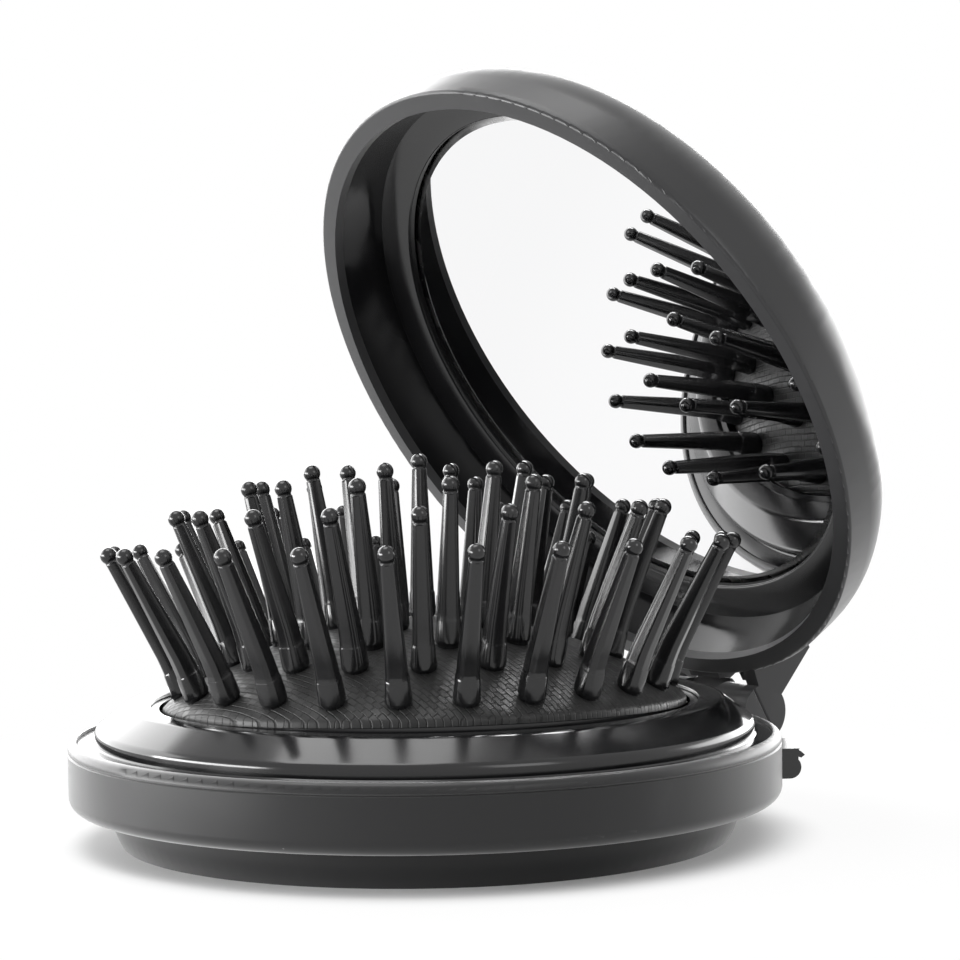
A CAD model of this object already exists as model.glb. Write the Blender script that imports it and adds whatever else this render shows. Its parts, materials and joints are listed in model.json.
"""Folding hairbrush with mirror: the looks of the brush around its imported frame."""

import json
import math

import bmesh
import bpy
from mathutils import Matrix, Vector


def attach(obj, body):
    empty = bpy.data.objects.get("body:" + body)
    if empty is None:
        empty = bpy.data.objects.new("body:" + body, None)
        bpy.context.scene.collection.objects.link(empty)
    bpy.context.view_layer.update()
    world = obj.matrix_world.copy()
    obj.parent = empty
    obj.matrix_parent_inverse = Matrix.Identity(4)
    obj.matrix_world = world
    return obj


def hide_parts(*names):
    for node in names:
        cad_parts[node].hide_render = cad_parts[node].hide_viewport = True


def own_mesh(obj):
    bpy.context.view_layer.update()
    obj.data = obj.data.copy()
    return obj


bl_info = {
    "name": "Folding Hairbrush",
    "version": (1, 0, 0),
    "blender": (4, 5, 0),
    "location": "3D View > Sidebar > Hairbrush",
    "description": "Models the finishes and detailed pieces of a folding hairbrush with a mirror",
    "category": "Object",
}

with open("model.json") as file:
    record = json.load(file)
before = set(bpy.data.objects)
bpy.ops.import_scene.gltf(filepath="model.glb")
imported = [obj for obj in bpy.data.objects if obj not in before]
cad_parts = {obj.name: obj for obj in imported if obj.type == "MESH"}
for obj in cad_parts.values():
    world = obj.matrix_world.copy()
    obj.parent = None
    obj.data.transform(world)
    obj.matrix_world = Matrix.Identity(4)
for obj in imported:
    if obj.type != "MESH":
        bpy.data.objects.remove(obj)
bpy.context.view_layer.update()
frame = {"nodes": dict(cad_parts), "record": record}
mm = 0.001


# ---------------------------------------------------------------------------
# Sizes and colours that a user would change
# ---------------------------------------------------------------------------


class BrushView(bpy.types.PropertyGroup):
    """Where the camera stands."""

    azimuth: bpy.props.FloatProperty(
        name="Azimuth", description="Turn of the camera round the brush",
        default=math.radians(50.89), subtype="ANGLE")
    elevation: bpy.props.FloatProperty(
        name="Elevation", description="How far the camera looks down",
        default=math.radians(2.81), subtype="ANGLE")
    roll: bpy.props.FloatProperty(
        name="Roll", description="Small tilt of the picture",
        default=math.radians(-0.81), subtype="ANGLE")
    distance: bpy.props.FloatProperty(
        name="Distance", description="Distance from the camera to the top of the base",
        default=0.320, unit="LENGTH")
    aside: bpy.props.FloatProperty(
        name="Aside", description="How far left of the picture's middle the base stands",
        default=0.00578, unit="LENGTH")
    below: bpy.props.FloatProperty(
        name="Below", description="How far under the picture's middle the base stands",
        default=0.0265, unit="LENGTH")
    lens: bpy.props.FloatProperty(
        name="Lens", description="Focal length of the camera",
        default=113.55, subtype="DISTANCE_CAMERA")


class BrushFinish(bpy.types.PropertyGroup):
    """Colours and surface values of the finishes."""

    wall_colour: bpy.props.FloatVectorProperty(
        name="Wall", description="Satin grey plastic of the base wall",
        default=(0.012, 0.012, 0.0125), subtype="COLOR", min=0, max=1)
    lid_colour: bpy.props.FloatVectorProperty(
        name="Lid", description="Satin black plastic of the lid",
        default=(0.016, 0.016, 0.017), subtype="COLOR", min=0, max=1)
    gloss_colour: bpy.props.FloatVectorProperty(
        name="Gloss", description="Polished black plastic of the bezel and the mirror ring",
        default=(0.006, 0.006, 0.0065), subtype="COLOR", min=0, max=1)
    pin_colour: bpy.props.FloatVectorProperty(
        name="Pins", description="Moulded black plastic of the bristle pins",
        default=(0.008, 0.008, 0.0085), subtype="COLOR", min=0, max=1)
    rubber_colour: bpy.props.FloatVectorProperty(
        name="Rubber", description="Dull black rubber of the dome",
        default=(0.014, 0.014, 0.014), subtype="COLOR", min=0, max=1)
    mirror_colour: bpy.props.FloatVectorProperty(
        name="Mirror", description="Silver behind the glass",
        default=(0.925, 0.925, 0.93), subtype="COLOR", min=0, max=1)
    weave_cell: bpy.props.FloatProperty(
        name="Weave cell", description="Width of one cell pressed into the rubber",
        default=0.0009, unit="LENGTH")
    ground_edge: bpy.props.FloatProperty(
        name="Ground edge", description="Width of the bevel that shows round the mirror",
        default=0.0009, unit="LENGTH")


class BrushPad(bpy.types.PropertyGroup):
    """Sizes of the bristle pins and of the rubber dome that carries them."""

    pin_length: bpy.props.FloatProperty(
        name="Pin length", description="From the foot of a pin to its tip",
        default=0.0172, unit="LENGTH")
    ball_radius: bpy.props.FloatProperty(
        name="Ball radius", description="Radius of the ball on the tip of a pin",
        default=0.00089, unit="LENGTH")
    boot_height: bpy.props.FloatProperty(
        name="Boot height", description="Height of the thicker foot of a pin",
        default=0.0026, unit="LENGTH")
    flat_share: bpy.props.FloatProperty(
        name="Flats",
        description="Distance of a flat side of a pin from its axis, as a share of the radius",
        default=0.86, min=0.75, max=1.0)
    dome_thickness: bpy.props.FloatProperty(
        name="Dome thickness", description="Thickness of the rubber",
        default=0.0006, unit="LENGTH")


class BrushBezel(bpy.types.PropertyGroup):
    """Shape of the bezel round the dome and of the foot under it."""

    foot_round: bpy.props.FloatProperty(
        name="Foot rounding", description="How far the foot draws in from its top to the floor",
        default=0.00098, unit="LENGTH")
    hole_radius: bpy.props.FloatProperty(
        name="Hole radius", description="Radius of the round opening over the dome",
        default=0.0288, unit="LENGTH")
    lip_height: bpy.props.FloatProperty(
        name="Lip height", description="Height of the lip above the wall top",
        default=0.00358, unit="LENGTH")
    cone_fall: bpy.props.FloatProperty(
        name="Cone", description="How steeply the cone falls from the lip",
        default=math.radians(36), subtype="ANGLE")


# ---------------------------------------------------------------------------
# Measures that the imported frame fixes
# ---------------------------------------------------------------------------

WALL_TOP = 10.9 * mm
FOOT_TOP = 3.2 * mm
FOOT_RADIUS = 33.0 * mm
LID_DEPTH = 11 * mm
MIRROR_DEPTH = 8.2 * mm
ROUND_SIDES = 256

HINGE_PLACE = Vector((0, 41.3 * mm, 9.9 * mm))
OPEN_ANGLE = math.radians(59.2)
HINGE = Matrix.Translation(HINGE_PLACE)
OPENED = HINGE @ Matrix.Rotation(-OPEN_ANGLE, 4, "X") @ HINGE.inverted()

ROCK_HEIGHT = 13.2 * mm
ROCK_ANGLE = math.radians(3)
ROCK_AXIS = Vector((-0.466, -0.885, 0))
ROCK = (Matrix.Translation((0, 0, ROCK_HEIGHT))
        @ Matrix.Rotation(ROCK_ANGLE, 4, ROCK_AXIS)
        @ Matrix.Translation((0, 0, -ROCK_HEIGHT)))


# ---------------------------------------------------------------------------
# Modelling steps that several pieces use
# ---------------------------------------------------------------------------


def body_of(node):
    """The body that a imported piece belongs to."""
    for body, nodes in frame["record"]["behaviour"]["bodies"].items():
        if node in nodes:
            return body
    raise RuntimeError(f"no body holds {node}")


def choose(*pieces):
    """Selects these pieces alone and makes the first of them active."""
    bpy.ops.object.select_all(action="DESELECT")
    for piece in pieces:
        piece.select_set(True)
    bpy.context.view_layer.objects.active = pieces[0]


def leave_edit():
    """Turns all normals outwards and leaves edit mode."""
    bpy.ops.mesh.select_all(action="SELECT")
    bpy.ops.mesh.normals_make_consistent(inside=False)
    bpy.ops.object.mode_set(mode="OBJECT")


def start_ring(name, sides, radius, height):
    """A new piece in edit mode that is only a ring of edges, all of it selected."""
    bpy.ops.object.select_all(action="DESELECT")
    bpy.ops.mesh.primitive_circle_add(vertices=sides, radius=radius, location=(0, 0, 0))
    piece = bpy.context.active_object
    piece.name = name
    piece.data.name = name
    bpy.ops.object.mode_set(mode="EDIT")
    bpy.ops.mesh.select_all(action="SELECT")
    bpy.ops.transform.translate(value=(0, 0, height))
    return piece


def pull_ring(old, new):
    """Extrudes the selected ring from one (radius, height) to the next."""
    bpy.ops.mesh.extrude_edges_move(TRANSFORM_OT_translate={"value": (0, 0, new[1] - old[1])})
    grow = new[0] / old[0]
    bpy.ops.transform.resize(value=(grow, grow, 1), center_override=(0, 0, 0))


def pick(test):
    """Selects the vertices in edit mode whose place passes the test, and nothing else."""
    bpy.ops.mesh.select_mode(type="VERT")
    bpy.ops.mesh.select_all(action="DESELECT")
    shape = bmesh.from_edit_mesh(bpy.context.edit_object.data)
    for vertex in shape.verts:
        vertex.select = bool(test(vertex.co))
    shape.select_flush(True)
    bmesh.update_edit_mesh(bpy.context.edit_object.data)


def turned(name, profile, sides):
    """A piece turned round Z from the points of a closed section, given as radius and height."""
    piece = start_ring(name, sides, *profile[0])
    for old, new in zip(profile, profile[1:] + profile[:1]):
        pull_ring(old, new)
    bpy.ops.mesh.select_all(action="SELECT")
    bpy.ops.mesh.remove_doubles(threshold=0.002 * mm)
    leave_edit()
    return piece


def apply_modifiers(piece):
    """Applies every modifier of the piece, in order."""
    choose(piece)
    for modifier in list(piece.modifiers):
        bpy.ops.object.modifier_apply(modifier=modifier.name)


def smooth(piece, angle):
    """Smooth shading that keeps edges sharper than the angle."""
    choose(piece)
    bpy.ops.object.shade_smooth_by_angle(angle=math.radians(angle))


def arc(centre, radius, first, last, steps):
    """Points of radius and height on an arc, angles in degrees from outwards, all in mm."""
    points = []
    for i in range(steps + 1):
        turn = math.radians(first + (last - first) * i / steps)
        points.append((centre[0] + radius * math.cos(turn), centre[1] + radius * math.sin(turn)))
    return points


def merged_copy(node, name, place=Matrix()):
    """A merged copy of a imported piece, in edit mode, moved to where it is easy to work on."""
    packed = frame["nodes"][node]
    piece = packed.copy()
    piece.data = packed.data.copy()
    piece.name = piece.data.name = name
    bpy.context.scene.collection.objects.link(piece)
    piece.data.transform(place)
    choose(piece)
    bpy.ops.object.mode_set(mode="EDIT")
    bpy.ops.mesh.select_all(action="SELECT")
    bpy.ops.mesh.remove_doubles(threshold=0.004 * mm)
    bpy.ops.mesh.customdata_custom_splitnormals_clear()
    return piece


def even_shading(piece, angle):
    """Smooth shading that lets the large faces set the normals of the small ones beside them."""
    smooth(piece, angle)
    even = piece.modifiers.new("Even", "WEIGHTED_NORMAL")
    even.keep_sharp = True
    even.weight = 80
    apply_modifiers(piece)


# ---------------------------------------------------------------------------
# Pins and dome
# ---------------------------------------------------------------------------

# Rings of pins from the outside in: name, number, radius, turn, lean, height of the feet and heel.
PIN_RINGS = (
    ("pins_outer", 24, 25.0, 1.3, 28.7, 16.0, 0.5),
    ("pins_middle", 18, 19.5, 2.0, 22.5, 18.9, 0.4),
    ("pins_inner", 12, 14.6, 1.9, 12.3, 20.9, 0.2),
    ("pins_core", 6, 8.9, 4.4, 9.2, 22.25, 0.1),
    ("pin_centre", 1, 0.0, 0.0, 0.0, 23.05, 0.0),
)
# Pins that move as one piece, two where nothing else is said.
PINS_TOGETHER = {"pins_core": 6, "pin_centre": 1}
PIN_SIDES = 24
BALL_ANGLES = (9, 24, 40, 56, 72, 88, 104, 118, 128)
# Rings of the boot from the top down in mm, and how far each is turned from square to round.
BOOT_RINGS = (
    (1.44, 0.9, 0.25), (1.50, 0.48, 0.6), (1.49, 0.26, 0.9),
    (1.42, 0.10, 1.0), (1.30, 0.0, 1.0), (1.28, -0.4, 1.0),
)
# Cuts in mm across the lower shaft let the heel turn softly.
HEEL_CUTS = (3.2, 3.8, 4.6)
HEEL_TOP = 5 * mm
HEEL_CURVE = 1.6


def flatten_sides(radius, height, flat):
    """Presses four sides of the ring at this height flat, then selects the whole ring again."""
    level = 0.001 * mm
    reach = radius * flat
    for axis, sign in ((0, 1), (0, -1), (1, 1), (1, -1)):
        pick(lambda co: abs(co.z - height) < level and sign * co[axis] > reach)
        centre = [0.0, 0.0, 0.0]
        centre[axis] = sign * reach
        squeeze = [1, 1, 1]
        squeeze[axis] = 0
        bpy.ops.transform.resize(value=squeeze, center_override=centre)
    pick(lambda co: abs(co.z - height) < level)


def model_pin(sizes):
    """One upright pin with its foot at the origin: ball, neck, four-sided shaft and round boot."""
    ball = sizes.ball_radius
    middle = sizes.pin_length - ball
    boot = sizes.boot_height
    round_part = [(ball * math.sin(math.radians(a)), middle + ball * math.cos(math.radians(a)))
                  for a in BALL_ANGLES]
    shoulder = middle - 0.80 * ball
    neck, collar = 0.70 * mm, 0.76 * mm
    round_part += [(neck, shoulder + 0.04 * mm), (neck, shoulder), (collar, shoulder - 0.05 * mm)]
    top = (0.80 * mm, shoulder - 0.16 * mm)
    shaft = [(1.26 * mm, boot + 0.08 * mm), (1.30 * mm, boot), (1.345 * mm, boot - 0.12 * mm)]
    piece = start_ring("pin_master", PIN_SIDES, *round_part[0])
    bpy.ops.mesh.edge_face_add()
    for old, new in zip(round_part, round_part[1:] + [top]):
        pull_ring(old, new)
    flatten_sides(*top, sizes.flat_share)
    old = top
    for new in shaft:
        pull_ring(old, new)
        old = new
    for radius, height, roundness in BOOT_RINGS:
        new = (radius * mm, height * mm)
        pull_ring(old, new)
        bpy.ops.transform.tosphere(value=roundness, center_override=(0, 0, new[1]))
        old = new
    bpy.ops.mesh.edge_face_add()
    leave_edit()
    edges = piece.modifiers.new("edges", "BEVEL")
    edges.width = 0.08 * mm
    edges.segments = 2
    edges.limit_method = "ANGLE"
    edges.angle_limit = math.radians(24)
    apply_modifiers(piece)
    bpy.ops.object.mode_set(mode="EDIT")
    for height in HEEL_CUTS:
        bpy.ops.mesh.select_all(action="SELECT")
        bpy.ops.mesh.bisect(plane_co=(0, 0, height * mm), plane_no=(0, 0, 1))
    bpy.ops.object.mode_set(mode="OBJECT")
    smooth(piece, 40)
    return piece


def set_heel(mesh, reach):
    """Swings the foot of a leaning pin outwards, so that its boot stands steeper."""
    for vertex in mesh.vertices:
        below = max(0.0, 1 - vertex.co.z / HEEL_TOP)
        vertex.co.x += reach * below ** HEEL_CURVE


class BRUSH_OT_pins(bpy.types.Operator):
    """Models one bristle pin and copies it to every place in the five rings"""

    bl_idname = "brush.pins"
    bl_label = "Bristle pins"
    bl_options = {"REGISTER", "UNDO"}

    def execute(self, context):
        master = model_pin(context.scene.brush_pad)
        master.data.materials.append(bpy.data.materials["Pin black"])
        for ring, count, radius, turn, lean, height, reach in PIN_RINGS:
            together = PINS_TOGETHER.get(ring, 2)
            for first in range(0, count, together):
                node = ring if ring in frame["nodes"] else f"{ring}_{first // together + 1:02d}"
                copies = []
                for i in range(first, first + together):
                    copy = master.copy()
                    copy.data = master.data.copy()
                    set_heel(copy.data, reach * mm)
                    copy.data.transform(
                        ROCK @ Matrix.Rotation(math.radians(turn + i * 360 / count), 4, "Z")
                        @ Matrix.Translation((radius * mm, 0, height * mm))
                        @ Matrix.Rotation(math.radians(lean), 4, "Y"))
                    context.scene.collection.objects.link(copy)
                    copies.append(copy)
                choose(*copies)
                if together > 1:
                    bpy.ops.object.join()
                piece = copies[0]
                piece.name = f"moulded_{node}"
                piece.data.name = piece.name
                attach(piece, body_of(node))
                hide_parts(node)
        bpy.data.objects.remove(master, do_unlink=True)
        return {"FINISHED"}


class BRUSH_OT_dome(bpy.types.Operator):
    """Models the rubber dome under the pins"""

    bl_idname = "brush.dome"
    bl_label = "Rubber dome"
    bl_options = {"REGISTER", "UNDO"}

    def execute(self, context):
        sizes = context.scene.brush_pad
        sphere, top, reach = 48 * mm, 23 * mm, 26.9 * mm
        steps, sides = 36, 180
        crown = []
        for i in range(1, steps + 1):
            r = reach * i / steps
            crown.append((r, top - sphere + math.sqrt(sphere * sphere - r * r)))
        edge = [(27.3 * mm, 14.38 * mm), (27.52 * mm, 14.17 * mm), (27.6 * mm, 13.9 * mm),
                (27.6 * mm, 13.45 * mm)]
        profile = edge[::-1] + crown[::-1]
        dome = start_ring("woven_rubber_dome", sides, *profile[0])
        for old, new in zip(profile, profile[1:]):
            pull_ring(old, new)
        bpy.ops.mesh.edge_face_add()
        bpy.ops.mesh.poke()
        leave_edit()
        wall = dome.modifiers.new("wall", "SOLIDIFY")
        wall.thickness = sizes.dome_thickness
        wall.offset = -1
        apply_modifiers(dome)
        smooth(dome, 50)
        dome.data.transform(ROCK)
        dome.data.materials.append(bpy.data.materials["Rubber"])
        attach(dome, body_of("rubber_dome"))
        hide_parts("rubber_dome")
        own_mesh(dome)
        return {"FINISHED"}


# ---------------------------------------------------------------------------
# Base, bezel, lid and mirror
# ---------------------------------------------------------------------------

# Screw boss: radius and height in mm, where it stands, and its number of sides.
BOSS = ((0.62, 6.42), (1.35, 6.42), (1.45, 6.52), (1.45, 9.9), (0.62, 9.9))
BOSS_TURNS = (10, 130, 240, 300)
BOSS_REACH = 34.3 * mm
BOSS_SIDES = 32


class BRUSH_OT_bezel(bpy.types.Operator):
    """Models the polished bezel with its rounded lip, cone and ledge, and its screw bosses"""

    bl_idname = "brush.bezel"
    bl_label = "Bezel"
    bl_options = {"REGISTER", "UNDO"}

    def execute(self, context):
        sizes = context.scene.brush_bezel
        hole, lip = sizes.hole_radius / mm, sizes.lip_height / mm
        fall = math.degrees(sizes.cone_fall)
        edge_round, lip_round, foot_round = 0.18, 1.15, 1.0
        lip_turn = (31.0, lip - lip_round)
        away, over = math.sin(sizes.cone_fall), math.cos(sizes.cone_fall)
        cone_top = (lip_turn[0] + lip_round * away, lip_turn[1] + lip_round * over)
        foot_turn_r = 33.7
        foot_turn = (foot_turn_r,
                     cone_top[1] - (foot_round - (cone_top[0] - foot_turn_r) * away) / over)
        outer = (arc((hole + edge_round, lip - edge_round), edge_round, 180, 90, 5)
                 + arc(lip_turn, lip_round, 90, 90 - fall, 8)
                 + arc(foot_turn, foot_round, 90 - fall, 0, 8))
        # The ledge, the collar inside the wall and the hollow underside.
        outer += [(34.7, -0.1), (34.85, -0.25), (36.35, -0.25), (36.55, -0.32), (36.58, -1.0),
                  (35.98, -1.0), (35.98, -1.8), (34.9, -1.8), (34.9, -1.3), (33.5, -1.3),
                  (31.4, 1.9), (31.4, 3.19), (hole, 3.19)]
        profile = [(r * mm, z * mm + WALL_TOP) for r, z in outer]
        bezel = turned("polished_bezel", profile, ROUND_SIDES)
        rings = [bezel]
        boss = [(r * mm, z * mm) for r, z in BOSS]
        for turn in BOSS_TURNS:
            at = Matrix.Rotation(math.radians(turn), 3, "Z") @ Vector((BOSS_REACH, 0, 0))
            post = turned(f"boss_{turn}", boss, BOSS_SIDES)
            post.data.transform(Matrix.Translation(at))
            rings.append(post)
        choose(*rings)
        bpy.ops.object.join()
        smooth(bezel, 35)
        bezel.data.materials.append(bpy.data.materials["Gloss black"])
        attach(bezel, body_of("bezel"))
        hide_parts("bezel")
        return {"FINISHED"}


class BRUSH_OT_base(bpy.types.Operator):
    """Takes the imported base, merges it and rounds its foot like a shallow bowl"""

    bl_idname = "brush.base"
    bl_label = "Base"
    bl_options = {"REGISTER", "UNDO"}

    def execute(self, context):
        base = merged_copy("base_ring", "round_footed_base")
        cuts = [0.8 * mm, 1.2 * mm, 1.8 * mm, 2.4 * mm, FOOT_TOP]
        for level in cuts:
            bpy.ops.mesh.select_all(action="SELECT")
            bpy.ops.mesh.bisect(plane_co=(0, 0, level), plane_no=(0, 0, 1))
        near, inside, outside = 0.02 * mm, 32.3 * mm, FOOT_RADIUS + 0.1 * mm
        for level in [0.0, 0.4 * mm] + cuts[:-1]:
            pick(lambda at: abs(at.z - level) < near and inside < at.xy.length < outside)
            shape = bmesh.from_edit_mesh(base.data)
            now = max(v.co.xy.length for v in shape.verts if v.select)
            drawn_in = context.scene.brush_bezel.foot_round * (1 - level / FOOT_TOP) ** 2
            grow = (FOOT_RADIUS - drawn_in) / now
            bpy.ops.transform.resize(value=(grow, grow, 1), center_override=(0, 0, 0))
        bpy.ops.object.mode_set(mode="OBJECT")
        smooth(base, 32)
        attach(base, body_of("base_ring"))
        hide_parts("base_ring")
        return {"FINISHED"}


# Rings of the lid's crown, as shares of the radius of its edge.
CROWN_RINGS = (0.93, 0.84, 0.72, 0.58, 0.42, 0.26, 0.12, 0.04)


class BRUSH_OT_lid(bpy.types.Operator):
    """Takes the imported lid, merges it and gives its back a new smooth crown"""

    bl_idname = "brush.lid"
    bl_label = "Lid"
    bl_options = {"REGISTER", "UNDO"}

    def execute(self, context):
        lid = merged_copy("lid_shell", "crowned_lid", OPENED.inverted())
        back_radius, back_height = 31.0 * mm + 0.03 * mm, WALL_TOP + 10.1 * mm - 0.03 * mm
        bpy.ops.mesh.select_mode(type="FACE")
        bpy.ops.mesh.select_all(action="DESELECT")
        shape = bmesh.from_edit_mesh(lid.data)
        for face in shape.faces:
            face.select = all(
                v.co.z > back_height and v.co.xy.length < back_radius for v in face.verts)
        bmesh.update_edit_mesh(lid.data)
        bpy.ops.mesh.delete(type="FACE")
        bpy.ops.mesh.select_mode(type="EDGE")
        bpy.ops.mesh.select_all(action="DESELECT")
        shape = bmesh.from_edit_mesh(lid.data)
        loop = [e for e in shape.edges if e.is_boundary]
        if not loop:
            raise RuntimeError("the back of the lid has no open edge to crown")
        for edge in loop:
            edge.select = True
        radius = max(v.co.xy.length for e in loop for v in e.verts)
        height = max(v.co.z for e in loop for v in e.verts)
        bmesh.update_edit_mesh(lid.data)
        rise = WALL_TOP + LID_DEPTH - height
        old = (radius, height)
        for share in CROWN_RINGS:
            new = (radius * share, height + rise * (1 - share * share))
            pull_ring(old, new)
            old = new
        bpy.ops.mesh.edge_face_add()
        bpy.ops.mesh.select_all(action="SELECT")
        bpy.ops.mesh.normals_make_consistent(inside=False)
        polished_from, polished_to = WALL_TOP + 1.1 * mm, WALL_TOP + 7.4 * mm
        wall_radius = 35.65 * mm
        bpy.ops.mesh.bisect(plane_co=(0, 0, polished_from), plane_no=(0, 0, 1))
        pick(lambda at: at.xy.length < wall_radius
             and polished_from - 0.01 * mm < at.z < polished_to)
        bpy.ops.mesh.select_mode(type="FACE")
        lid.data.materials.append(bpy.data.materials["Deep black"])
        lid.active_material_index = 1
        bpy.ops.object.material_slot_assign()
        bpy.ops.object.mode_set(mode="OBJECT")
        even_shading(lid, 50)
        lid.data.transform(OPENED)
        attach(lid, body_of("lid_shell"))
        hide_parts("lid_shell")
        return {"FINISHED"}


class BRUSH_OT_mirror(bpy.types.Operator):
    """Models the round mirror with its ground edge and the dished ring that holds it"""

    bl_idname = "brush.mirror"
    bl_label = "Mirror"
    bl_options = {"REGISTER", "UNDO"}

    def execute(self, context):
        front = WALL_TOP + MIRROR_DEPTH
        back = front + 0.9 * mm
        inner = 30.5 * mm - context.scene.brush_finish.ground_edge
        rim = 31.2 * mm
        profile = [(31.15 * mm, back), (rim, back - 0.05 * mm), (rim, front + 0.35 * mm),
                   (30.6 * mm, front + 0.3 * mm), (inner, front), (15 * mm, front)]
        mirror = start_ring("ground_edge_mirror", ROUND_SIDES, *profile[0])
        bpy.ops.mesh.edge_face_add()
        for old, new in zip(profile, profile[1:]):
            pull_ring(old, new)
        bpy.ops.mesh.edge_face_add()
        leave_edit()
        smooth(mirror, 8)
        for name in ("Mirror silver", "Ground glass"):
            mirror.data.materials.append(bpy.data.materials[name])
        mirror.active_material_index = 1
        bpy.ops.object.mode_set(mode="EDIT")
        pick(lambda at: inner - 0.05 * mm < at.xy.length and at.z < front + 0.32 * mm)
        bpy.ops.mesh.select_mode(type="FACE")
        bpy.ops.object.material_slot_assign()
        bpy.ops.object.mode_set(mode="OBJECT")
        mirror.data.transform(OPENED)
        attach(mirror, body_of("mirror"))
        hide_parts("mirror")
        section = ([(34.2, 8.1), (30.5, 8.1)] + arc((30.85, 7.58), 0.35, 180, 258, 6)
                   + [(32.3, 6.96), (34.2, 6.62)])
        ring = turned("dished_mirror_ring", [(r * mm, z * mm + WALL_TOP) for r, z in section],
                      ROUND_SIDES)
        smooth(ring, 40)
        ring.data.transform(OPENED)
        ring.data.materials.append(bpy.data.materials["Gloss black"])
        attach(ring, body_of("mirror_frame"))
        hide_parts("mirror_frame")
        return {"FINISHED"}


# ---------------------------------------------------------------------------
# Nodes
# ---------------------------------------------------------------------------


def add_node(tree, kind, values=None, **settings):
    """A node with its settings, and values for its inputs by socket name or number."""
    made = tree.nodes.new(kind)
    for key, value in settings.items():
        setattr(made, key, value)
    for key, value in (values or {}).items():
        made.inputs[key].default_value = value
    return made


def new_group(name, inputs, outputs):
    """A shader node group with float inputs (name, default) and outputs (name, kind)."""
    tree = bpy.data.node_groups.new(name, "ShaderNodeTree")
    for label, default in inputs:
        socket = tree.interface.new_socket(label, in_out="INPUT", socket_type="NodeSocketFloat")
        socket.default_value = default
    for label, kind in outputs:
        tree.interface.new_socket(label, in_out="OUTPUT", socket_type=kind)
    return tree, tree.nodes.new("NodeGroupInput"), tree.nodes.new("NodeGroupOutput")


def wire(tree, *ties):
    """Links nodes, each tie given as a node and its output, then a node and its input."""
    for start, output, end, socket in ties:
        tree.links.new(start.outputs[output], end.inputs[socket])


def fine_grain():
    """Fine moulded grain: a height for bump, from two sizes of noise."""
    tree, given, out = new_group(
        "Fine grain", [("Scale", 3000.0), ("Coarse share", 0.35)],
        [("Height", "NodeSocketFloat")])
    place = add_node(tree, "ShaderNodeTexCoord")
    fine = add_node(tree, "ShaderNodeTexNoise", {"Detail": 2.0, "Roughness": 0.6})
    coarse_scale = add_node(tree, "ShaderNodeMath", {1: 0.22}, operation="MULTIPLY")
    coarse = add_node(tree, "ShaderNodeTexNoise", {"Detail": 1.0})
    mix = add_node(tree, "ShaderNodeMix", data_type="FLOAT")
    wire(tree,
         (place, "Object", fine, "Vector"),
         (place, "Object", coarse, "Vector"),
         (given, "Scale", fine, "Scale"),
         (given, "Scale", coarse_scale, 0),
         (coarse_scale, 0, coarse, "Scale"),
         (given, "Coarse share", mix, "Factor"),
         (fine, "Fac", mix, 2),
         (coarse, "Fac", mix, 3),
         (mix, 0, out, "Height"))


def smudges():
    """Broad soft patches from handling, as a mask from 0 to 1."""
    tree, given, out = new_group(
        "Smudges", [("Scale", 60.0), ("Low", 0.35), ("High", 0.7)],
        [("Mask", "NodeSocketFloat")])
    place = add_node(tree, "ShaderNodeTexCoord")
    noise = add_node(tree, "ShaderNodeTexNoise", {
        "Detail": 4.0, "Roughness": 0.55, "Distortion": 0.6})
    spread = add_node(tree, "ShaderNodeMapRange", interpolation_type="SMOOTHSTEP")
    wire(tree,
         (place, "Object", noise, "Vector"),
         (given, "Scale", noise, "Scale"),
         (noise, "Fac", spread, "Value"),
         (given, "Low", spread, "From Min"),
         (given, "High", spread, "From Max"),
         (spread, "Result", out, "Mask"))


def dust():
    """Sparse tiny specks, as a mask from 0 to 1."""
    tree, given, out = new_group(
        "Dust", [("Scale", 420.0), ("Size", 0.05), ("Share", 0.3)],
        [("Mask", "NodeSocketFloat")])
    place = add_node(tree, "ShaderNodeTexCoord")
    cells = add_node(tree, "ShaderNodeTexVoronoi")
    speck = add_node(tree, "ShaderNodeMath", operation="LESS_THAN")
    chosen = add_node(tree, "ShaderNodeSeparateColor")
    few = add_node(tree, "ShaderNodeMath", operation="LESS_THAN")
    both = add_node(tree, "ShaderNodeMath", operation="MULTIPLY")
    wire(tree,
         (place, "Object", cells, "Vector"),
         (given, "Scale", cells, "Scale"),
         (cells, "Distance", speck, 0),
         (given, "Size", speck, 1),
         (cells, "Color", chosen, "Color"),
         (chosen, 0, few, 0),
         (given, "Share", few, 1),
         (speck, 0, both, 0),
         (few, 0, both, 1),
         (both, 0, out, "Mask"))


def edge_wear():
    """Rubbed edges: a mask that is 1 on convex edges, broken up by noise."""
    tree, given, out = new_group(
        "Edge wear", [("Start", 0.53), ("Full", 0.62), ("Breakup", 600.0)],
        [("Mask", "NodeSocketFloat")])
    shape = add_node(tree, "ShaderNodeNewGeometry")
    place = add_node(tree, "ShaderNodeTexCoord")
    noise = add_node(tree, "ShaderNodeTexNoise", {"Detail": 3.0})
    edge = add_node(tree, "ShaderNodeMapRange")
    broken = add_node(tree, "ShaderNodeMath", operation="MULTIPLY")
    wire(tree,
         (shape, "Pointiness", edge, "Value"),
         (given, "Start", edge, "From Min"),
         (given, "Full", edge, "From Max"),
         (place, "Object", noise, "Vector"),
         (given, "Breakup", noise, "Scale"),
         (edge, "Result", broken, 0),
         (noise, "Fac", broken, 1),
         (broken, 0, out, "Mask"))


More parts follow.
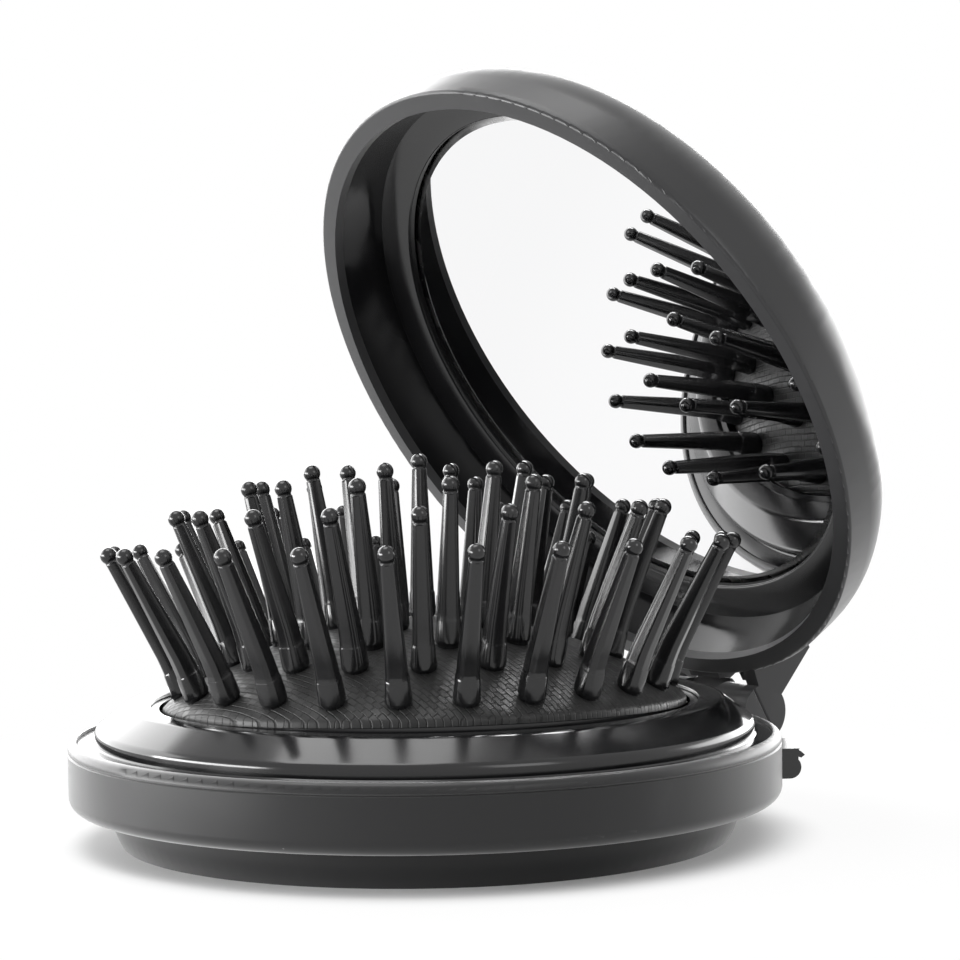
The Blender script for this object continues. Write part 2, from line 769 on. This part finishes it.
def brushing():
    """Fine lines that run round the lid's own axis, from noise of radius and depth in the lid."""
    tree, given, out = new_group(
        "Brushing", [("Scale", 1600.0), ("Stretch", 0.03)],
        [("Height", "NodeSocketFloat")])
    place = add_node(tree, "ShaderNodeTexCoord")
    back = HINGE_PLACE - Matrix.Rotation(OPEN_ANGLE, 3, "X") @ HINGE_PLACE
    closed = add_node(tree, "ShaderNodeMapping", {
        "Location": back, "Rotation": (OPEN_ANGLE, 0, 0)})
    parts = add_node(tree, "ShaderNodeSeparateXYZ")
    flat = add_node(tree, "ShaderNodeVectorMath", {1: (1, 1, 0)}, operation="MULTIPLY")
    away = add_node(tree, "ShaderNodeVectorMath", operation="LENGTH")
    along = add_node(tree, "ShaderNodeMath", operation="MULTIPLY")
    lines = add_node(tree, "ShaderNodeCombineXYZ")
    noise = add_node(tree, "ShaderNodeTexNoise", {"Detail": 3.0, "Roughness": 0.7})
    wire(tree,
         (place, "Object", closed, "Vector"),
         (closed, "Vector", parts, "Vector"),
         (closed, "Vector", flat, 0),
         (flat, "Vector", away, 0),
         (parts, "X", along, 0),
         (given, "Stretch", along, 1),
         (away, "Value", lines, "X"),
         (parts, "Z", lines, "Y"),
         (along, 0, lines, "Z"),
         (lines, "Vector", noise, "Vector"),
         (given, "Scale", noise, "Scale"),
         (noise, "Fac", out, "Height"))


def pressed_weave():
    """Rows of small cells pressed into the rubber, as a height and a tone."""
    tree, given, out = new_group(
        "Pressed weave", [("Cell", 0.0009), ("Wander", 0.25)],
        [("Height", "NodeSocketFloat"), ("Tone", "NodeSocketFloat")])
    place = add_node(tree, "ShaderNodeTexCoord")
    drift = add_node(tree, "ShaderNodeTexNoise", {"Scale": 260.0, "Detail": 1.0})
    centred = add_node(tree, "ShaderNodeVectorMath", {1: (0.5, 0.5, 0.5)}, operation="SUBTRACT")
    amount = add_node(tree, "ShaderNodeMath", operation="MULTIPLY")
    shift = add_node(tree, "ShaderNodeVectorMath", operation="SCALE")
    moved = add_node(tree, "ShaderNodeVectorMath", operation="ADD")
    per_cell = add_node(tree, "ShaderNodeMath", {0: 1.0}, operation="DIVIDE")
    scaled = add_node(tree, "ShaderNodeVectorMath", operation="SCALE")
    bricks = add_node(tree, "ShaderNodeTexBrick", {
        "Color1": (1, 1, 1, 1), "Color2": (0.35, 0.35, 0.35, 1), "Mortar": (0, 0, 0, 1),
        "Scale": 1.0, "Mortar Size": 0.09, "Mortar Smooth": 0.9,
        "Brick Width": 1.35, "Row Height": 0.72}, offset=0.5, squash=1.0)
    level = add_node(tree, "ShaderNodeMath", {0: 1.0}, operation="SUBTRACT")
    grain = add_node(tree, "ShaderNodeTexNoise", {"Scale": 5200.0, "Detail": 2.0})
    rough = add_node(tree, "ShaderNodeMath", {1: 0.25}, operation="MULTIPLY")
    total = add_node(tree, "ShaderNodeMath", operation="ADD")
    tone = add_node(tree, "ShaderNodeSeparateColor")
    wire(tree,
         (place, "Object", drift, "Vector"),
         (drift, "Color", centred, 0),
         (given, "Cell", amount, 0),
         (given, "Wander", amount, 1),
         (centred, "Vector", shift, 0),
         (amount, 0, shift, "Scale"),
         (place, "Object", moved, 0),
         (shift, "Vector", moved, 1),
         (given, "Cell", per_cell, 1),
         (moved, "Vector", scaled, 0),
         (per_cell, 0, scaled, "Scale"),
         (scaled, "Vector", bricks, "Vector"),
         (bricks, "Fac", level, 1),
         (place, "Object", grain, "Vector"),
         (grain, "Fac", rough, 0),
         (level, 0, total, 0),
         (rough, 0, total, 1),
         (total, 0, out, "Height"),
         (bricks, "Color", tone, "Color"),
         (tone, 0, out, "Tone"))


def new_material(name):
    """An empty node material: its tree and its Principled shader."""
    made = bpy.data.materials.new(name)
    made.use_nodes = True
    tree = made.node_tree
    tree.nodes.clear()
    output = tree.nodes.new("ShaderNodeOutputMaterial")
    shader = tree.nodes.new("ShaderNodeBsdfPrincipled")
    wire(tree, (shader, "BSDF", output, "Surface"))
    return tree, shader


def place_group(tree, name, values=None):
    """One of the shared groups, placed in a material with its own values."""
    made = tree.nodes.new("ShaderNodeGroup")
    made.node_tree = bpy.data.node_groups[name]
    for key, value in (values or {}).items():
        made.inputs[key].default_value = value
    return made


def vary_roughness(tree, shader, mask, output, low, high):
    """Lets a mask move the roughness of the shader from low to high."""
    rough = add_node(tree, "ShaderNodeMapRange", {"To Min": low, "To Max": high})
    wire(tree, (mask, output, rough, "Value"), (rough, "Result", shader, "Roughness"))


def emboss(tree, shader, texture, strength, distance):
    """Lets the height of a texture bump the shader."""
    relief = add_node(tree, "ShaderNodeBump", {"Strength": strength, "Distance": distance})
    wire(tree, (texture, "Height", relief, "Height"), (relief, "Normal", shader, "Normal"))


def grey(value):
    """A colour that is the same in red, green and blue."""
    return (value, value, value, 1.0)


def plastic(name, colour, roughness, smudge=0.05, grain=0.02, grain_scale=3000.0,
            worn=1.8, specks=0.0, specular=0.5, sheen=0.0):
    """Moulded plastic: grain, handling patches, rubbed edges and a few specks."""
    tree, shader = new_material(name)
    base = (*colour, 1.0)
    shader.inputs["Specular IOR Level"].default_value = specular
    shader.inputs["Sheen Weight"].default_value = sheen
    shader.inputs["Sheen Roughness"].default_value = 0.45
    patches = place_group(tree, "Smudges", {"Scale": 55.0})
    vary_roughness(tree, shader, patches, "Mask",
                   max(0.02, roughness - smudge), roughness + smudge)
    wear = place_group(tree, "Edge wear")
    rubbed = add_node(tree, "ShaderNodeMix", {6: base, 7: (*[c * worn for c in colour], 1.0)},
                      data_type="RGBA")
    wire(tree, (wear, "Mask", rubbed, "Factor"))
    speck = place_group(tree, "Dust", {"Share": specks})
    dusted = add_node(tree, "ShaderNodeMix", {7: grey(0.12)}, data_type="RGBA")
    wire(tree,
         (rubbed, 2, dusted, 6),
         (speck, "Mask", dusted, "Factor"),
         (dusted, 2, shader, "Base Color"))
    texture = place_group(tree, "Fine grain", {"Scale": grain_scale})
    emboss(tree, shader, texture, grain, 0.02 * mm)
    return tree, shader


def lid_plastic(name, colour, roughness):
    """The lid: satin black with faint fine lines that run round it."""
    tree, shader = plastic(name, colour, roughness, smudge=0.06, specks=0.1,
                           specular=0.4, sheen=0.25)
    lines = place_group(tree, "Brushing")
    ridge = add_node(tree, "ShaderNodeBump", {"Strength": 0.12, "Distance": 0.01 * mm})
    wire(tree,
         (lines, "Height", ridge, "Height"),
         (tree.nodes["Bump"], "Normal", ridge, "Normal"),
         (ridge, "Normal", shader, "Normal"))


def rubber(name, colour, cell):
    """Dull black rubber with small cells pressed into it."""
    tree, shader = new_material(name)
    shader.inputs["Specular IOR Level"].default_value = 0.3
    weave = place_group(tree, "Pressed weave", {"Cell": cell})
    tone = add_node(tree, "ShaderNodeMix", {
        6: (*[c * 0.45 for c in colour], 1.0), 7: (*[c * 1.5 for c in colour], 1.0)},
        data_type="RGBA")
    wire(tree, (weave, "Tone", tone, "Factor"), (tone, 2, shader, "Base Color"))
    vary_roughness(tree, shader, weave, "Tone", 0.6, 0.38)
    emboss(tree, shader, weave, 0.9, 0.08 * mm)


def ground_glass(name):
    """The bevelled edge of the mirror: dull silver behind ground glass."""
    tree, shader = new_material(name)
    shader.inputs["Metallic"].default_value = 1.0
    shader.inputs["Base Color"].default_value = grey(0.4)
    haze = place_group(tree, "Smudges", {"Scale": 300.0})
    vary_roughness(tree, shader, haze, "Mask", 0.2, 0.34)


def silvered_glass(name, colour):
    """The mirror: clean silver with the faintest haze."""
    tree, shader = new_material(name)
    shader.inputs["Metallic"].default_value = 1.0
    shader.inputs["Base Color"].default_value = (*colour, 1.0)
    haze = place_group(tree, "Smudges", {"Scale": 35.0})
    vary_roughness(tree, shader, haze, "Mask", 0.0, 0.012)


def spring_steel(name):
    """Drawn steel wire: bright, with fine scratches and a little staining."""
    tree, shader = new_material(name)
    shader.inputs["Metallic"].default_value = 1.0
    stain = place_group(tree, "Smudges", {"Scale": 220.0})
    tone = add_node(tree, "ShaderNodeMix", {6: grey(0.56), 7: grey(0.38)}, data_type="RGBA")
    wire(tree, (stain, "Mask", tone, "Factor"), (tone, 2, shader, "Base Color"))
    vary_roughness(tree, shader, stain, "Mask", 0.22, 0.42)
    grain = place_group(tree, "Fine grain", {"Scale": 5000.0})
    emboss(tree, shader, grain, 0.15, 0.01 * mm)


def foam_tape(name):
    """Pale foam with open pores."""
    tree, shader = new_material(name)
    grain = place_group(tree, "Fine grain", {"Scale": 1800.0, "Coarse share": 0.5})
    tone = add_node(tree, "ShaderNodeMix", {6: (0.34, 0.32, 0.27, 1), 7: (0.62, 0.60, 0.53, 1)},
                    data_type="RGBA")
    shader.inputs["Roughness"].default_value = 0.9
    wire(tree, (grain, "Height", tone, "Factor"), (tone, 2, shader, "Base Color"))
    emboss(tree, shader, grain, 0.8, 0.1 * mm)


class BRUSH_OT_finishes(bpy.types.Operator):
    """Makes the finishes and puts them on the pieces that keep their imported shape"""

    bl_idname = "brush.finishes"
    bl_label = "Finishes"
    bl_options = {"REGISTER", "UNDO"}

    def execute(self, context):
        finish = context.scene.brush_finish
        for group in (fine_grain, smudges, dust, edge_wear, brushing, pressed_weave):
            group()
        plastic("Satin grey", finish.wall_colour, 0.36, specks=0.1, specular=0.25, sheen=0.5)
        lid_plastic("Satin black", finish.lid_colour, 0.36)
        plastic("Deep black", finish.gloss_colour, 0.14, smudge=0.04, grain=0.006, worn=1.5,
                specular=0.2)
        plastic("Gloss black", finish.gloss_colour, 0.15, smudge=0.05, grain=0.006, worn=1.5)
        plastic("Pin black", finish.pin_colour, 0.2, smudge=0.06, grain=0.03, worn=2.5)
        plastic("Button black", finish.wall_colour, 0.3)
        plastic("Matte black", finish.gloss_colour, 0.55, grain=0.4, grain_scale=2200.0)
        rubber("Rubber", finish.rubber_colour, finish.weave_cell)
        silvered_glass("Mirror silver", finish.mirror_colour)
        ground_glass("Ground glass")
        spring_steel("Steel")
        foam_tape("Foam tape")
        by_slot = {
            "satin_grey": "Satin grey", "satin_black": "Satin black", "gloss_black": "Gloss black",
            "button_black": "Button black", "matte_black": "Matte black", "pin_black": "Pin black",
            "rubber_black": "Rubber", "mirror_silver": "Mirror silver", "foam_tape": "Foam tape",
            "steel": "Steel",
        }
        for part in frame["record"]["subparts"]:
            piece = frame["nodes"][part["node"]]
            piece.data.materials.clear()
            piece.data.materials.append(bpy.data.materials[by_slot[part["material_slot"]]])
        return {"FINISHED"}


# ---------------------------------------------------------------------------
# Stage
# ---------------------------------------------------------------------------


def studio_world():
    """White where the camera, a reflection or glass looks, and a calmer sky for the light."""
    world = bpy.data.worlds.new("Studio")
    bpy.context.scene.world = world
    world.use_nodes = True
    tree = world.node_tree
    tree.nodes.clear()
    output = tree.nodes.new("ShaderNodeOutputWorld")
    rays = tree.nodes.new("ShaderNodeLightPath")
    seen = add_node(tree, "ShaderNodeBackground", {"Color": grey(1.0), "Strength": 1.0})
    lighting = add_node(tree, "ShaderNodeBackground", {"Color": grey(1.0), "Strength": 0.55})
    either = add_node(tree, "ShaderNodeMath", operation="MAXIMUM")
    any_seen = add_node(tree, "ShaderNodeMath", operation="MAXIMUM")
    mix = tree.nodes.new("ShaderNodeMixShader")
    wire(tree,
         (rays, "Is Camera Ray", either, 0),
         (rays, "Is Glossy Ray", either, 1),
         (either, 0, any_seen, 0),
         (rays, "Is Transmission Ray", any_seen, 1),
         (any_seen, 0, mix, "Fac"),
         (lighting, 0, mix, 1),
         (seen, 0, mix, 2),
         (mix, 0, output, "Surface"))


def floor_paper():
    """White paper that keeps the shadow close to the brush and fades to plain white."""
    tree, shader = new_material("Floor paper")
    shader.inputs["Base Color"].default_value = grey(0.86)
    shader.inputs["Roughness"].default_value = 1.0
    shader.inputs["Specular IOR Level"].default_value = 0.0
    output = tree.nodes["Material Output"]
    place = add_node(tree, "ShaderNodeTexCoord")
    out = add_node(tree, "ShaderNodeVectorMath", operation="LENGTH")
    fade = add_node(tree, "ShaderNodeMapRange", {
        "From Min": 0.034, "From Max": 0.0425, "To Min": 0.0, "To Max": 0.9},
        interpolation_type="SMOOTHSTEP")
    further = add_node(tree, "ShaderNodeMapRange", {
        "From Min": 0.045, "From Max": 0.1, "To Min": 0.0, "To Max": 0.1},
        interpolation_type="SMOOTHSTEP")
    share = add_node(tree, "ShaderNodeMath", operation="ADD")
    rays = tree.nodes.new("ShaderNodeLightPath")
    either = add_node(tree, "ShaderNodeMath", operation="MAXIMUM")
    seen = add_node(tree, "ShaderNodeMath", operation="MULTIPLY")
    white = add_node(tree, "ShaderNodeEmission", {"Color": grey(1.0), "Strength": 1.0})
    mix = tree.nodes.new("ShaderNodeMixShader")
    wire(tree,
         (place, "Object", out, 0),
         (out, "Value", fade, "Value"),
         (out, "Value", further, "Value"),
         (fade, "Result", share, 0),
         (further, "Result", share, 1),
         (rays, "Is Camera Ray", either, 0),
         (rays, "Is Glossy Ray", either, 1),
         (share, 0, seen, 0),
         (either, 0, seen, 1),
         (seen, 0, mix, "Fac"),
         (shader, 0, mix, 1),
         (white, 0, mix, 2),
         (mix, 0, output, "Surface"))


def add_lamp(name, at, aim, size, power):
    """A rectangular soft lamp, standing at a point and facing another."""
    lamp = bpy.data.lights.new(name, "AREA")
    lamp.shape = "RECTANGLE"
    lamp.size, lamp.size_y = size
    lamp.energy = power
    made = bpy.data.objects.new(name, lamp)
    bpy.context.scene.collection.objects.link(made)
    made.location = at
    made.rotation_euler = (Vector(aim) - Vector(at)).to_track_quat("-Z", "Y").to_euler()
    made.visible_camera = False


# Name, place seen from the camera's side (right, away, up), width and height, and power.
LAMPS = (
    ("lamp_over", (-0.15, 0.05, 0.8), (0.45, 0.45), 2.5),
    ("lamp_left", (-0.42, 0.5, 0.14), (1.2, 0.7), 10.0),
    ("lamp_right", (0.42, 0.5, 0.08), (1.0, 0.4), 7.0),
    ("lamp_low_left", (-0.55, -0.12, 0.06), (0.5, 0.14), 4.5),
    ("lamp_front", (0.35, -0.5, 0.35), (0.25, 0.3), 0.6),
)
LAMP_AIM = (0, 0, 0.03)
FLOOR_RADIUS = 3.0
SENSOR_WIDTH = 36.0


class BRUSH_OT_stage(bpy.types.Operator):
    """Sets up the floor, the soft lamps and the camera"""

    bl_idname = "brush.stage"
    bl_label = "Stage"
    bl_options = {"REGISTER", "UNDO"}

    def execute(self, context):
        view = context.scene.brush_view
        studio_world()
        bpy.ops.object.select_all(action="DESELECT")
        bpy.ops.mesh.primitive_circle_add(
            vertices=96, radius=FLOOR_RADIUS, fill_type="NGON", location=(0, 0, 0))
        floor = context.active_object
        floor.name = "floor"
        floor_paper()
        floor.data.materials.append(bpy.data.materials["Floor paper"])
        turn = Matrix.Rotation(view.azimuth, 3, "Z")
        forward = Vector((0, math.cos(view.elevation), -math.sin(view.elevation)))
        up = Vector((0, math.sin(view.elevation), math.cos(view.elevation)))
        right = Vector((1, 0, 0))
        right_rolled = math.cos(view.roll) * right + math.sin(view.roll) * up
        up_rolled = -math.sin(view.roll) * right + math.cos(view.roll) * up
        stand = -view.distance * forward + view.aside * right_rolled + view.below * up_rolled
        lens = bpy.data.cameras.new("camera")
        lens.lens = view.lens
        lens.sensor_width = SENSOR_WIDTH
        lens.clip_start = 0.01
        camera = bpy.data.objects.new("camera", lens)
        context.scene.collection.objects.link(camera)
        facing = Matrix((turn @ right_rolled, turn @ up_rolled, turn @ -forward)).transposed()
        camera.matrix_world = Matrix.Translation(
            turn @ stand + Vector((0, 0, WALL_TOP))) @ facing.to_4x4()
        context.scene.camera = camera
        for name, place, size, power in LAMPS:
            add_lamp(name, turn @ Vector(place), LAMP_AIM, size, power)
        context.scene.view_settings.view_transform = "Standard"
        return {"FINISHED"}


# ---------------------------------------------------------------------------
# Panel, registration and the run
# ---------------------------------------------------------------------------


class BRUSH_PT_sidebar(bpy.types.Panel):
    """Lists the steps and the values of the hairbrush"""

    bl_label = "Folding Hairbrush"
    bl_idname = "BRUSH_PT_sidebar"
    bl_space_type = "VIEW_3D"
    bl_region_type = "UI"
    bl_category = "Hairbrush"

    def draw(self, context):
        for step in STEPS:
            self.layout.operator(step.bl_idname)
        scene = context.scene
        for values in (scene.brush_view, scene.brush_finish, scene.brush_pad, scene.brush_bezel):
            box = self.layout.box()
            for name in values.bl_rna.properties.keys():
                if name not in ("rna_type", "name"):
                    box.prop(values, name)


STEPS = (BRUSH_OT_finishes, BRUSH_OT_base, BRUSH_OT_bezel, BRUSH_OT_lid, BRUSH_OT_mirror,
         BRUSH_OT_dome, BRUSH_OT_pins, BRUSH_OT_stage)
CLASSES = (BrushView, BrushFinish, BrushPad, BrushBezel, *STEPS, BRUSH_PT_sidebar)


def register():
    """Registers the classes and ties their values to the scene."""
    for cls in CLASSES:
        bpy.utils.register_class(cls)
    bpy.types.Scene.brush_view = bpy.props.PointerProperty(type=BrushView)
    bpy.types.Scene.brush_finish = bpy.props.PointerProperty(type=BrushFinish)
    bpy.types.Scene.brush_pad = bpy.props.PointerProperty(type=BrushPad)
    bpy.types.Scene.brush_bezel = bpy.props.PointerProperty(type=BrushBezel)


def unregister():
    """Takes away what register made."""
    del bpy.types.Scene.brush_bezel
    del bpy.types.Scene.brush_pad
    del bpy.types.Scene.brush_finish
    del bpy.types.Scene.brush_view
    for cls in reversed(CLASSES):
        bpy.utils.unregister_class(cls)


def main():
    """Builds the brush and its stage."""
    register()
    bpy.ops.brush.finishes()
    bpy.ops.brush.base()
    bpy.ops.brush.bezel()
    bpy.ops.brush.lid()
    bpy.ops.brush.mirror()
    bpy.ops.brush.dome()
    bpy.ops.brush.pins()
    bpy.ops.brush.stage()


if __name__ == "__main__":
    main()
